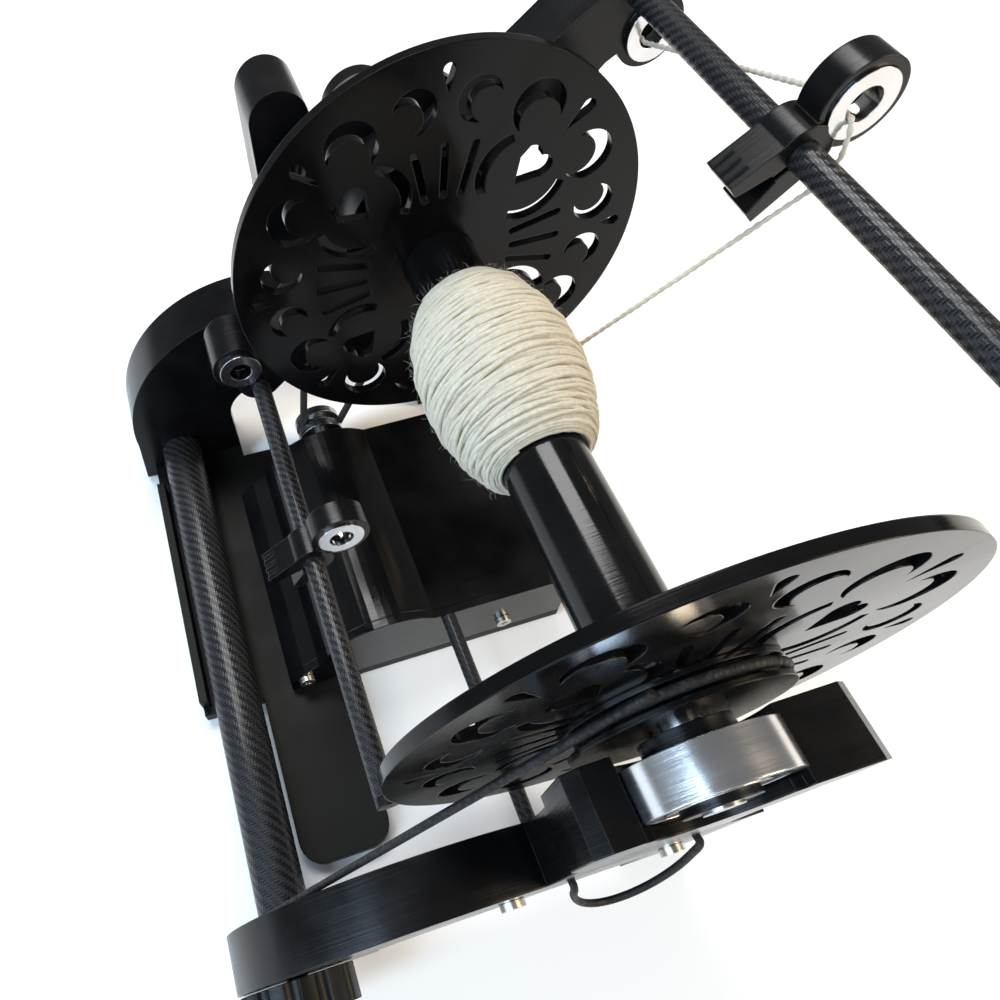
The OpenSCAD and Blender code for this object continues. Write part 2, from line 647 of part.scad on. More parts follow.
// a pointed oval of width w and length l, the overlap of two circles
module lens(w, l) {
    r = (l * l + w * w) / (4 * w);
    intersection() {
        translate([r - w / 2, 0]) circle(r = r, $fn = 120);
        translate([w / 2 - r, 0]) circle(r = r, $fn = 120);
    }
}
module slot_hole(w, r0, r1) {
    translate([-w / 2, r0]) square([w, r1 - r0]);
    for (r = [r0, r1]) translate([0, r]) circle(d = w, $fn = 24);
}
module heart(z, k) {
    for (s = [-1, 1]) translate([s * 2.3 * k, z]) circle(r = 2.9 * k, $fn = 36);
    polygon([[-4.9 * k, z - 1.3 * k], [0, z - 7.4 * k], [4.9 * k, z - 1.3 * k], [0, z + 1.6 * k]]);
}
module scroll_motif() {
    k = scroll_r / 57;
    heart(34.6 * k, k);
    for (s = [-1, 1]) {
        translate([s * 8.8, 27.4] * k) rotate(-18 * s) difference() {
            lens(8.4 * k, 17 * k);
            translate([-2.7 * s * k, 0]) lens(7.6 * k, 16 * k);
        }
        crescent([s * 11, 43.4] * k, 6.6 * k, [s * -2.6, -1.8] * k, 5.2 * k);
    }
    drop([0, 51] * k, 1.7 * k, 7 * k, 180);
    rotate(180 / scroll_count) {
        for (a = [-fan_turn, 0, fan_turn]) rotate(a) slot_hole(2 * k, 21 * k, 34 * k);
        for (s = [-1, 1]) crescent([s * 7.8, 43.6] * k, 5.4 * k, [s * 2, -1.6] * k, 4.2 * k);
        drop([0, 51.6] * k, 1.5 * k, 5 * k, 180);
    }
}
module flange_plate() difference() {
    circle(d = flange_d, $fn = 180);
    for (i = [0:scroll_count - 1]) rotate(360 * (i + 0.5) / scroll_count) scroll_motif();
}
module flange(y0, y1, hub0, hub1) difference() {
    union() {
        slab(y0, y1) flange_plate();
        bar_y(hub_d, hub0, hub1);
    }
    bar_y(core_d + 2 * seat_gap, min(y0, hub0) - 1, max(y1, hub1) + 1);
}
module bobbin_core() color("#1c1d20") place()
    tube_y(core_d, core_d - 2 * core_wall, core_y0, rear_flange_y + flange_t);
module front_flange() color("#171719") place() flange(-flange_t, 0, -flange_t - hub_t, 0);
module rear_flange() color("#171719") place() flange(rear_flange_y, rear_flange_y + flange_t,
    rear_flange_y - rear_hub_t, rear_flange_y + flange_t);
module brake_whorl() color("#171719") place() difference() {
    translate([0, cord_y, 0]) rotate([90, 0, 0]) rotate_extrude() difference() {
        translate([0, -whorl_t / 2]) square([whorl_d / 2, whorl_t - 0.05]);
        translate([cord_wrap_r, 0]) circle(d = cord_d + 2 * cord_room, $fn = 32);
        translate([cord_wrap_r, -cord_d / 2 - cord_room]) square([8, cord_d + 2 * cord_room]);
    }
    bar_y(shaft_d + 2 * shaft_gap, whorl_y0 - 1, whorl_y0 + whorl_t + 1);
}
module bobbin_bushes() color("#d9d5c8") place() for (y = [core_y0, rear_flange_y + flange_t - bush_len])
    tube_y(core_d - 2 * core_wall - 2 * seat_gap, shaft_d + 2 * run_gap, y, y + bush_len);

// ---------- yarn ----------
// barrel-shaped heap: radius of the heap at a share u of its length
function heap_r(u) = core_r + heap_step
    + (pack_r - yarn_d - core_r - heap_step) * pow(sin(180 * (0.06 + 0.88 * u)), 0.75);
module yarn_core() color("#e9e0cf") place() translate([0, pack_y0 + pack_len, 0]) rotate([90, 0, 0])
    rotate_extrude() polygon(concat(
        [[core_r + core_gap, 0]],
        [for (i = [0:yarn_core_n])
            [heap_r(1 - i / yarn_core_n) - yarn_d / 2 - free_gap, pack_len * i / yarn_core_n]],
        [[core_r + core_gap, pack_len]]));
function wind_pt(i) = let (u = i / (loops * ring_steps), a = 360 * i / ring_steps,
    y = pack_y0 + wind_in + (pack_len - 2 * wind_in) * u + wind_a * sin(a),
    r = heap_r((y - pack_y0) / pack_len))
    [r * cos(a), y, r * sin(a)];
wind_path = [for (i = [0:loops * ring_steps]) wind_pt(i)];
// least distance between neighbouring turns, less one thickness
wind_gap = min([for (i = [0:ring_steps * (loops - 1)], j = [-4:4])
    let (q = i + ring_steps + j) if (q <= loops * ring_steps) norm(wind_path[i] - wind_path[q])]) - yarn_d;
echo(wind_gap = wind_gap);
module yarn_winding() color("#f1ead9") place() swept(wind_path, yarn_d, 6, [0, 1, 0]);
// through the ring, down beside the clip and on to the heap
strand_path = [
    [-side_off, slider_a_y - 6.7, ring_rest], [-side_off, slider_a_y + 4, ring_rest],
    [-2.2, slider_a_y + 5.6, ring_rest - 1.6], [-5.6, slider_a_y + 6.4, rod_r + 5],
    [-8.8, slider_a_y + 6, rod_r - 1],
    [-strand_r * sin(strand_turn), slider_a_y - 9, strand_r * cos(strand_turn)]
];
lead_path = [
    [sin(eyelet_turn) * head_rest, head_y1 - 4, cos(eyelet_turn) * head_rest],
    [sin(eyelet_turn) * head_rest, head_y1 + 0.5, cos(eyelet_turn) * head_rest],
    [side_off, lead_y, ring_rest], [side_off, slider_a_y - 7, ring_rest]
];
module yarn_strand() color("#f1ead9") in_flyer() swept(strand_path, yarn_d, 8, [1, 0.2, 0]);
module yarn_lead() color("#f1ead9") in_flyer() swept(lead_path, yarn_d, 8, [1, 0, 0]);

// ---------- brake and controls ----------
cord_loop = [for (t = [0:15:180]) [loop_mid - loop_r * cos(t), rear_y1 + 2 + 5.5 * sin(t),
    cord_out[1] + (cord_end[1] - cord_out[1]) * (1 - cos(t)) / 2 - loop_drop * sin(t)]];
function on_whorl(a) = [cord_wrap_r * cos(a), cord_y, cord_wrap_r * sin(a)];
function on_spool(a) = [brake_x + spool_wrap_r * cos(a), (spool_y0 + spool_y1) / 2,
    brake_z + spool_wrap_r * sin(a)];
// off the knob's spool, over the whorl, then down through the rear upright to a tied loop
cord_path = concat(
    [for (a = [-150:30:0]) on_spool(cord_touch + a)],
    [for (i = [0:14]) on_whorl(cord_touch + (cord_leave - cord_touch) * i / 14)],
    [[cord_out[0] - 5, cord_y, cord_out[1] + 24], [cord_out[0] - 1, cord_y, cord_out[1] + 5],
        [cord_out[0] - 0.2, rear_y0 - 1.2, cord_out[1] + 1], [cord_out[0], rear_y0 + 1, cord_out[1]],
        [cord_out[0], rear_y1 - 1, cord_out[1]]],
    cord_loop,
    [[cord_end[0], rear_y1 - 1, cord_end[1]], [cord_end[0], rear_y0 + 4, cord_end[1]]]);
module brake_cord() color("#141414") place() swept(cord_path, cord_d, 8, [0.31, 0.9, 0.29]);
// a disc with n finger grips of radius r, each with its centre a little outside the rim
module grip_disc(d, n, r, out) difference() {
    circle(d = d);
    for (i = [1:n]) rotate(360 * i / n) translate([d / 2 + out, 0]) circle(r = r, $fn = 24);
}
module tension_knob() color("#161618") place() at(brake_x, brake_z) {
    slab(rear_y1 + 0.5, rear_y1 + 0.5 + knob_t) grip_disc(knob_d, 12, 2.6, 1.4);
    bar_y(knob_shaft_d, spool_y0, rear_y1 + 1);
    bar_y(2 * spool_r, spool_y0, spool_y1);
}
module speed_knob() color("#161618") place() at(speed_x, speed_z) {
    slab(speed_y0, front_y0 - 0.5) grip_disc(speed_d, 10, 1.6, 0.8);
    bar_y(knob_shaft_d, front_y0 - 1, front_y0 + speed_socket - 2);
}
module direction_switch() color("#0e0e10") place() difference() {
    translate([switch_x - switch_w / 2, front_y0 - switch_out, switch_z - switch_h / 2])
        cube([switch_w, switch_out + switch_depth, switch_h]);
    for (k = [-1:1]) translate([switch_x, front_y0 - switch_out, switch_z + 2 * k]) rotate([0, 90, 0])
        cylinder(d = 0.9, h = switch_w + 1, center = true, $fn = 24);
}
module upright_screws() color("#9a9a98") place() {
    screw_head(spine_x, front_y0, spine_z, 90, cap_screw_d, cap_socket_d);
    for (x = bridge_screw_x) screw_head(x, rear_y1, bridge_screw_z, -90, cap_screw_d, cap_socket_d);
}

front_upright();
rear_upright();
spine_tube();
tie_rod();
base_deck();
rubber_feet();
motor_housing();
housing_end_cover();
motor();
motor_pulley();
drive_belt();
control_board();
front_bearing_outer();
front_bearing_balls();
front_bearing_inner();
rear_bearing_outer();
rear_bearing_balls();
rear_bearing_inner();
orifice_tube();
orifice_cap();
flyer_pulley();
flyer_head();
flyer_shaft();
rear_collar();
rod_a();
rod_b();
eyelet_a();
eyelet_b();
rod_tips();
slider_a();
slider_a_ring();
slider_b();
slider_b_ring();
bobbin_core();
front_flange();
rear_flange();
brake_whorl();
bobbin_bushes();
yarn_core();
yarn_winding();
yarn_strand();
yarn_lead();
brake_cord();
tension_knob();
speed_knob();
direction_switch();
power_inlet();
housing_screws();
upright_screws();
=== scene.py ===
"""Looks of the electric yarn spinner: materials, real yarn and cord, lights and camera."""
import math

import bpy
import numpy as np
from mathutils import Matrix, Quaternion, Vector


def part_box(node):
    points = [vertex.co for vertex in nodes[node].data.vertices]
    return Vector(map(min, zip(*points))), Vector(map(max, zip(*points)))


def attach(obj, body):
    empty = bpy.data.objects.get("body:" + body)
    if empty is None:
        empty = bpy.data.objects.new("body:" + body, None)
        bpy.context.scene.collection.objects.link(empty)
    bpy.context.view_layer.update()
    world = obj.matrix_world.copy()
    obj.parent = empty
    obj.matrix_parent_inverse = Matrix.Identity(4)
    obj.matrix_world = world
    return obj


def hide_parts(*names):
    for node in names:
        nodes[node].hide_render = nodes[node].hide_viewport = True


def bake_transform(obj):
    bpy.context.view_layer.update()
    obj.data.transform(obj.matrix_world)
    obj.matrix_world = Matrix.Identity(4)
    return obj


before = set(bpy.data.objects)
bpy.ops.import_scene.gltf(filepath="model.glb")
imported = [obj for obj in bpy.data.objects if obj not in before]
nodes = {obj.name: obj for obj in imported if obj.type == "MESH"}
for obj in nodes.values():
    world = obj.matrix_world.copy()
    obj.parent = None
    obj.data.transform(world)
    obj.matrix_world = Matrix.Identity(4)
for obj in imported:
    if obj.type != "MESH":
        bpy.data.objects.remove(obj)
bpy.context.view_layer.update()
rng = np.random.default_rng(7)

MM = 0.001
# where the flyer axis and the front flange's inner face stand in the row frame, in mm, as in part.scad
X_MID, Y_MID, AXIS_H = 19.3559, 36.55, 132.0
FLYER_ANGLE = math.radians(-48.2)


def place(p):
    """A point in mm from the flyer axis and the front flange, in the row frame in metres."""
    return Vector(((p[0] - X_MID) * MM, (p[1] - Y_MID) * MM, (p[2] + AXIS_H) * MM))


def in_flyer(p):
    """The same for a point that turns with the flyer."""
    c, s = math.cos(FLYER_ANGLE), math.sin(FLYER_ANGLE)
    return place((p[0] * c + p[2] * s, p[1], -p[0] * s + p[2] * c))


# ---------------------------------------------------------------- shader helpers
# radius of the soft edge that bare metal and moulded pieces show, in metres
FINE_EDGE = 0.0003


class Graph:
    """A small builder for one material's nodes."""

    def __init__(self, name):
        self.mat = bpy.data.materials.new(name)
        self.mat.use_nodes = True
        self.tree = self.mat.node_tree
        self.bsdf = self.tree.nodes["Principled BSDF"]

    def node(self, kind, **props):
        n = self.tree.nodes.new(kind)
        for key, value in props.items():
            setattr(n, key, value)
        return n

    def feed(self, socket, value):
        if isinstance(value, bpy.types.NodeSocket):
            self.tree.links.new(value, socket)
        else:
            socket.default_value = value

    def set(self, name, value):
        self.feed(self.bsdf.inputs[name], value)

    def math(self, op, a, b=0.0):
        n = self.node("ShaderNodeMath", operation=op)
        for i, v in enumerate((a, b)):
            self.feed(n.inputs[i], v)
        return n.outputs[0]

    def coords(self, scale=(1, 1, 1)):
        t = self.node("ShaderNodeTexCoord")
        m = self.node("ShaderNodeMapping")
        self.tree.links.new(t.outputs["Object"], m.inputs["Vector"])
        m.inputs["Scale"].default_value = scale
        return m.outputs[0]

    def xyz(self):
        t = self.node("ShaderNodeTexCoord")
        s = self.node("ShaderNodeSeparateXYZ")
        self.tree.links.new(t.outputs["Object"], s.inputs[0])
        return s.outputs

    def noise(self, vector, scale, detail=3.0, rough=0.55):
        n = self.node("ShaderNodeTexNoise")
        self.tree.links.new(vector, n.inputs["Vector"])
        n.inputs["Scale"].default_value = scale
        n.inputs["Detail"].default_value = detail
        n.inputs["Roughness"].default_value = rough
        return n.outputs["Fac"]

    def span(self, value, low, high, out_low, out_high):
        n = self.node("ShaderNodeMapRange")
        for i, v in enumerate((value, low, high, out_low, out_high)):
            self.feed(n.inputs[i], v)
        return n.outputs[0]

    def mix(self, fac, a, b):
        n = self.node("ShaderNodeMix", data_type="RGBA")
        self.feed(n.inputs[0], fac)
        for socket, v in ((n.inputs[6], a), (n.inputs[7], b)):
            self.feed(socket, (*v, 1) if isinstance(v, tuple) and len(v) == 3 else v)
        return n.outputs[2]

    def bump(self, height, distance, strength=1.0, normal=None):
        n = self.node("ShaderNodeBump")
        n.inputs["Strength"].default_value = strength
        n.inputs["Distance"].default_value = distance
        self.feed(n.inputs["Height"], height)
        if normal is not None:
            self.feed(n.inputs["Normal"], normal)
        return n.outputs[0]

    def edge(self, radius):
        n = self.node("ShaderNodeBevel", samples=6)
        n.inputs["Radius"].default_value = radius
        return n.outputs[0]


def printed(name, tint, rough, layer_axis, shine, edge=0.0005):
    """Black printed plastic: fine layer lines across layer_axis, satin sheen that varies a little."""
    g = Graph(name)
    stretch = [14.0, 14.0, 14.0]
    stretch[layer_axis] = 2600.0
    lines = g.noise(g.coords(tuple(stretch)), 1.0, 1.0)
    cloud = g.noise(g.coords(), 55.0, 4.0)
    grain = g.noise(g.coords(), 2400.0, 2.0)
    dark = tuple(c * 0.72 for c in tint)
    light = tuple(c * 1.35 for c in tint)
    g.set("Base Color", g.mix(g.span(cloud, 0.35, 0.65, 0.0, 1.0), dark, light))
    g.set("Roughness", g.span(g.math("ADD", g.math("MULTIPLY", cloud, 0.7), g.math("MULTIPLY", lines, 0.3)),
                              0.35, 0.65, rough - 0.06, rough + 0.08))
    g.set("Specular IOR Level", shine)
    n = g.bump(lines, 0.00004, 0.4, g.edge(edge))
    g.set("Normal", g.bump(grain, 0.00001, 0.5, n))
    return g.mat


def carbon(name, centre, radius, tow_width):
    """2x2 twill carbon weave wrapped round a tube along Y; centre is the tube's axis in the row frame."""
    g = Graph(name)
    x, y, z = g.xyz()
    around = g.math("ARCTAN2", g.math("SUBTRACT", x, centre.x), g.math("SUBTRACT", z, centre.z))
    tows = 4 * round(2 * math.pi * radius / (4 * tow_width))
    tow = 2 * math.pi * radius / tows
    u = g.math("MULTIPLY", g.math("ADD", around, math.pi), tows / (2 * math.pi))
    v = g.math("DIVIDE", y, tow)
    iu, iv = g.math("FLOOR", u), g.math("FLOOR", v)
    step = g.math("FLOORED_MODULO", g.math("ADD", iu, iv), 4.0)
    over = g.math("LESS_THAN", step, 1.5)
    fu, fv = g.math("SUBTRACT", u, iu), g.math("SUBTRACT", v, iv)

    def crown(f):
        d = g.math("SUBTRACT", f, 0.5)
        return g.math("SUBTRACT", 1.0, g.math("MULTIPLY", g.math("MULTIPLY", d, d), 4.0))
    height = g.math("ADD", g.math("MULTIPLY", over, crown(fu)),
                    g.math("MULTIPLY", g.math("SUBTRACT", 1.0, over), crown(fv)))
    fibre_a = g.noise(g.coords((3600.0, 60.0, 3600.0)), 1.0, 1.0)
    g.set("Base Color", g.mix(g.math("MULTIPLY", over, g.span(fibre_a, 0.3, 0.7, 0.75, 1.0)),
                              (0.005, 0.005, 0.006), (0.026, 0.027, 0.030)))
    g.set("Roughness", g.span(over, 0.0, 1.0, 0.44, 0.27))
    g.set("Specular IOR Level", 0.25)
    g.set("Normal", g.bump(height, 0.00010, 0.7))
    g.set("Coat Weight", 0.22)
    g.set("Coat Roughness", 0.12)
    return g.mat


def metal(name, tint, rough, brushed_axis=None, amount=0.5):
    """Bare metal with fine turning marks across brushed_axis."""
    g = Graph(name)
    g.set("Metallic", 1.0)
    stretch = [25.0, 25.0, 25.0]
    if brushed_axis is not None:
        stretch[brushed_axis] = 6500.0
    marks = g.noise(g.coords(tuple(stretch)), 1.0, 2.0)
    smear = g.noise(g.coords(), 130.0, 3.0)
    g.set("Base Color", g.mix(g.span(smear, 0.35, 0.65, 0.0, 1.0), tuple(c * 0.88 for c in tint), tint))
    g.set("Roughness", g.span(marks, 0.3, 0.7, rough * 0.8, rough * 1.25))
    g.set("Normal", g.bump(marks, 0.000012, amount, g.edge(FINE_EDGE)))
    return g.mat


def plain(name, tint, rough, metallic=0.0, scale=300.0, depth=0.00003):
    """A moulded or cast surface with slight mottling."""
    g = Graph(name)
    n1 = g.noise(g.coords(), scale, 4.0)
    dark = tuple(c * 0.8 for c in tint)
    light = tuple(min(1, c * 1.12) for c in tint)
    g.set("Base Color", g.mix(g.span(n1, 0.3, 0.7, 0.0, 1.0), dark, light))
    g.set("Metallic", metallic)
    g.set("Roughness", g.span(n1, 0.3, 0.7, rough - 0.05, rough + 0.07))
    g.set("Normal", g.bump(n1, depth, 0.4, g.edge(FINE_EDGE)))
    return g.mat


def wool(name):
    """Cream wool singles: fibres along the strand, shade varying from turn to turn."""
    g = Graph(name)
    tint = g.node("ShaderNodeAttribute", attribute_name="shade").outputs["Fac"]
    mottle = g.noise(g.coords(), 900.0, 4.0, 0.65)
    fibre = g.noise(g.coords((900.0, 2500.0, 900.0)), 1.0, 4.0, 0.7)
    base = g.mix(g.span(mottle, 0.3, 0.7, 0.0, 1.0), (0.53, 0.48, 0.36), (0.71, 0.66, 0.56))
    g.set("Base Color", g.mix(g.span(tint, 0.0, 1.0, 0.0, 0.45), base, (0.51, 0.44, 0.33)))
    g.set("Roughness", 0.82)
    g.set("Sheen Weight", 0.35)
    g.set("Sheen Roughness", 0.4)
    g.set("Subsurface Weight", 0.15)
    g.set("Subsurface Scale", 0.001)
    g.set("Subsurface Radius", (1.0, 0.8, 0.6))
    g.set("Normal", g.bump(fibre, 0.00025, 0.9))
    return g.mat


def braid(name):
    """Black braided cord."""
    g = Graph(name)
    weave = g.node("ShaderNodeTexVoronoi", feature="F1")
    g.tree.links.new(g.coords((1, 1, 1)), weave.inputs["Vector"])
    weave.inputs["Scale"].default_value = 1100.0
    d = weave.outputs["Distance"]
    g.set("Base Color", g.mix(g.span(d, 0.0, 0.8, 0.0, 1.0), (0.016, 0.016, 0.017), (0.006, 0.006, 0.0065)))
    g.set("Roughness", g.span(d, 0.0, 0.8, 0.42, 0.7))
    g.set("Specular IOR Level", 0.3)
    g.set("Normal", g.bump(d, 0.00025, 0.7))
    return g.mat


# ---------------------------------------------------------------- materials
BLACK = (0.004, 0.004, 0.0045)
M = {
    "upright": printed("upright_plastic", BLACK, 0.22, 1, 0.2),
    "case": printed("case_plastic", BLACK, 0.17, 1, 0.3),
    "flange": printed("flange_plastic", (0.003, 0.003, 0.0033), 0.15, 1, 0.16, 0.0004),
    "flyer": printed("flyer_plastic", BLACK, 0.25, 1, 0.25),
    "core": printed("core_plastic", (0.0035, 0.0036, 0.004), 0.14, 1, 0.3),
    "deck": printed("deck_plastic", (0.007, 0.0067, 0.0058), 0.46, 2, 0.12),
    "knob": printed("knob_plastic", BLACK, 0.36, 1, 0.25),
    "steel": metal("bearing_steel", (0.66, 0.67, 0.69), 0.20, 1, 0.6),
    "ring": metal("eyelet_steel", (0.70, 0.70, 0.72), 0.16, 1, 0.3),
    "shaft": metal("shaft_steel", (0.55, 0.56, 0.58), 0.24, 1, 0.5),
    "screw": metal("screw_steel", (0.62, 0.60, 0.56), 0.30, None, 0.4),
    "motor": metal("motor_can", (0.50, 0.51, 0.53), 0.34, 1, 0.5),
    "rubber": plain("foot_rubber", (0.022, 0.022, 0.022), 0.72),
    "belt": plain("belt_rubber", (0.045, 0.040, 0.036), 0.5),
    "board": plain("board_green", (0.02, 0.12, 0.06), 0.45),
    "bush": plain("acetal_bush", (0.72, 0.69, 0.62), 0.4),
    "switch": plain("switch_plastic", (0.016, 0.016, 0.017), 0.42),
    "wool": wool("cream_wool"),
    "cord": braid("black_braid"),
}


def centre_of(name):
    lo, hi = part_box(name)
    return (lo + hi) / 2, min(hi.x - lo.x, hi.z - lo.z) / 2


for tube in ("spine_tube", "tie_rod", "rod_a", "rod_b"):
    c, r = centre_of(tube)
    M[tube] = carbon(tube + "_carbon", c, r, 0.0009 if r > 0.006 else 0.0007)

LOOK = {}
for name in nodes:
    LOOK[name] = "flyer"
LOOK.update({n: "upright" for n in ("front_upright", "rear_upright")})
LOOK.update({n: "case" for n in ("motor_housing", "housing_end_cover")})
LOOK.update({n: "flange" for n in ("front_flange", "rear_flange", "brake_whorl")})
LOOK.update({n: "steel" for n in nodes if "bearing" in n})
LOOK.update({n: "ring" for n in ("eyelet_a", "eyelet_b", "slider_a_ring", "slider_b_ring")})
LOOK.update({n: n for n in ("spine_tube", "tie_rod", "rod_a", "rod_b")})
LOOK.update({
    "bobbin_core": "core", "base_deck": "deck", "rubber_feet": "rubber", "motor": "motor",
    "motor_pulley": "shaft", "drive_belt": "belt", "control_board": "board", "orifice_tube": "shaft",
    "flyer_shaft": "shaft", "bobbin_bushes": "bush", "housing_screws": "screw", "upright_screws": "screw",
    "direction_switch": "switch", "power_inlet": "switch", "tension_knob": "knob", "speed_knob": "knob",
    "brake_cord": "cord", "yarn_core": "wool", "yarn_winding": "wool", "yarn_strand": "wool",
    "yarn_lead": "wool",
})
for name, obj in nodes.items():
    obj.data.materials.clear()
    obj.data.materials.append(M[LOOK[name]])


# ---------------------------------------------------------------- mesh helpers
def new_mesh(name, verts, faces, mat, body, slot_name):
    me = bpy.data.meshes.new(name)
    me.from_pydata([tuple(v) for v in verts], [], faces)
    me.materials.append(mat)
    me.polygons.foreach_set("use_smooth", [True] * len(me.polygons))
    me.update()
    ob = bpy.data.objects.new(name, me)
    bpy.context.scene.collection.objects.link(ob)
    if isinstance(body, tuple):
        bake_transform(ob)
    else:
        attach(ob, body)
    return ob


def smooth_path(points, n):
    """n points on a Catmull-Rom curve through the given ones."""
    p = [np.array(q, float) for q in points]
    p = [2 * p[0] - p[1]] + p + [2 * p[-1] - p[-2]]
    spans = len(p) - 3
    out = []
    for i in range(n):
        t = i / (n - 1) * spans
        k = min(int(t), spans - 1)
        t -= k
        a, b, c, d = p[k:k + 4]
        out.append(0.5 * (2 * b + (c - a) * t + (2 * a - 5 * b + 4 * c - d) * t * t
                          + (3 * b - a - 3 * c + d) * t ** 3))
    return np.array(out)


def strand(path, radius, sides, twist=0.0, plies=1, lobe=0.0, vary=None):
    """Vertices and faces of a tube along path; with plies, the outline has lobes that turn along it."""
    path = np.asarray(path, float)
    n = len(path)
    tang = np.gradient(path, axis=0)
    tang /= np.linalg.norm(tang, axis=1, keepdims=True)
    normal = np.cross(tang[0], (0.13, 0.31, 0.94))
    normal /= np.linalg.norm(normal)
    along = np.r_[0, np.cumsum(np.linalg.norm(np.diff(path, axis=0), axis=1))]
    verts = []
    for i in range(n):
        normal = normal - tang[i] * normal.dot(tang[i])
        normal /= np.linalg.norm(normal)
        other = np.cross(tang[i], normal)
        r = radius if vary is None else radius * vary[i]
        for j in range(sides):
            a = 2 * math.pi * j / sides
            k = r * (1 + lobe * math.cos(plies * (a - twist * along[i])))
            verts.append(path[i] + k * (math.cos(a) * normal + math.sin(a) * other))
    faces = [[i * sides + j, i * sides + (j + 1) % sides,
              (i + 1) * sides + (j + 1) % sides, (i + 1) * sides + j]
             for i in range(n - 1) for j in range(sides)]
    faces.append(list(range(sides))[::-1])
    faces.append([(n - 1) * sides + j for j in range(sides)])
    return verts, faces


# ---------------------------------------------------------------- yarn on the bobbin
# the core, the heap and the yarn in mm, as in part.scad
CORE_R, PACK_R, YARN_D = 10.0, 20.5, 1.3
PACK_Y0, PACK_LEN = 19.0, 50.0
TURN_R, PLY_R = 0.60, 0.52
HAIR_COUNT = 900


def heap_r(u):
    u = min(max(u, 0.0), 1.0)
    return CORE_R + 1.2 + (PACK_R - YARN_D - CORE_R - 1.2) * math.sin(math.pi * (0.06 + 0.88 * u)) ** 0.75


def heap_surface():
    """The wool under the outer turns, closed against the core."""
    rings, sides = 40, 72
    verts = []
    for i in range(rings + 1):
        u = i / rings
        r = heap_r(u) - 0.45
        for j in range(sides):
            a = 2 * math.pi * j / sides
            verts.append(place((r * math.cos(a), PACK_Y0 + PACK_LEN * u, r * math.sin(a))))
    for y in (PACK_Y0 + PACK_LEN, PACK_Y0):
        for j in range(sides):
            a = 2 * math.pi * j / sides
            verts.append(place(((CORE_R + 0.1) * math.cos(a), y, (CORE_R + 0.1) * math.sin(a))))
    rows = rings + 3
    faces = [[(i % rows) * sides + j, (i % rows) * sides + (j + 1) % sides,
              ((i + 1) % rows) * sides + (j + 1) % sides, ((i + 1) % rows) * sides + j]
             for i in range(rows) for j in range(sides)]
    return verts, faces


def layer(turns, y_from, y_to, lift, tilt, seed, steps=44):
    """Centre line of one layer of turns, tilted on the heap and a little uneven."""
    r = np.random.default_rng(seed)
    slow = [r.uniform(0, 2 * math.pi) for _ in range(6)]
    n = int(abs(turns) * steps)
    pts = []
    for i in range(n + 1):
        t = i / n
        a = 2 * math.pi * turns * t + slow[0]
        y = y_from + (y_to - y_from) * t
        y += 0.5 * math.sin(5.1 * a / (2 * math.pi) + slow[1]) + 0.35 * math.sin(0.37 * a + slow[2])
        y += tilt * math.sin(a + slow[3])
        y = min(max(y, PACK_Y0 + 0.4), PACK_Y0 + PACK_LEN - 0.4)
        uneven = 0.14 * math.sin(2.3 * a + slow[4]), 0.1 * math.sin(0.71 * a + slow[5])
        rad = heap_r((y - PACK_Y0) / PACK_LEN) + lift + uneven[0] + uneven[1]
        pts.append(place((rad * math.cos(a), y, rad * math.sin(a))))
    return pts


def add_shade(obj, seed, count):
    """A shade for each stretch of strand, so that turns differ."""
    me = obj.data
    r = np.random.default_rng(seed)
    n = len(me.vertices)
    knots = r.uniform(0, 1, count)
    vals = np.interp(np.linspace(0, count - 1, n), np.arange(count), knots)
    attr = me.attributes.new("shade", "FLOAT", "POINT")
    attr.data.foreach_set("value", vals.astype(np.float32))


base = new_mesh("yarn_heap_base", *heap_surface(), M["wool"], "bobbin", "yarn_cream")
add_shade(base, 1, 30)
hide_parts("yarn_core")

# each layer's turns, first and last place along the axis, lift off the heap, tilt and seed
LAYERS = [
    (42, PACK_Y0 + 1, PACK_Y0 + PACK_LEN - 1, -0.35, 1.1, 3),
    (-34, PACK_Y0 + PACK_LEN - 2, PACK_Y0 + 2, -0.05, 2.4, 4),
    (15, PACK_Y0 + 6, PACK_Y0 + PACK_LEN - 7, 0.25, 3.4, 5),
]


def end_turns(y, out, seed, turns=4.6, steps=44):
    """Turns that close an end of the heap, from its rim down on to the core."""
    r = np.random.default_rng(seed)
    slow = r.uniform(0, 2 * math.pi, 3)
    pts = []
    for i in range(int(turns * steps) + 1):
        t = i / (turns * steps)
        a = 2 * math.pi * turns * t + slow[0]
        rad = heap_r(0) - 0.1 - (heap_r(0) - CORE_R - 0.75) * t + 0.12 * math.sin(2.7 * a + slow[1])
        off = -0.35 + 1.5 * t + 0.3 * math.sin(a + slow[2]) * (1 - t)
        pts.append(place((rad * math.cos(a), y + out * off, rad * math.sin(a))))
    return pts


paths = [(layer(turns, y_a, y_b, lift, tilt, seed), seed) for turns, y_a, y_b, lift, tilt, seed in LAYERS]
paths += [(end_turns(PACK_Y0 + PACK_LEN, 1, 6), 6), (end_turns(PACK_Y0, -1, 7), 7)]
wind_verts, wind_faces = [], []
for path, seed in paths:
    r = np.random.default_rng(seed)
    knots = r.uniform(0.78, 1.12, max(8, len(path) // 9))
    vary = np.interp(np.linspace(0, len(knots) - 1, len(path)), np.arange(len(knots)), knots)
    v, f = strand(path, TURN_R * MM, 8, twist=900.0, plies=2, lobe=0.14, vary=vary)
    off = len(wind_verts)
    wind_verts += v
    wind_faces += [[k + off for k in q] for q in f]
winding = new_mesh("yarn_turns", wind_verts, wind_faces, M["wool"], "bobbin", "yarn_cream")
add_shade(winding, 2, 420)
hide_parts("yarn_winding")


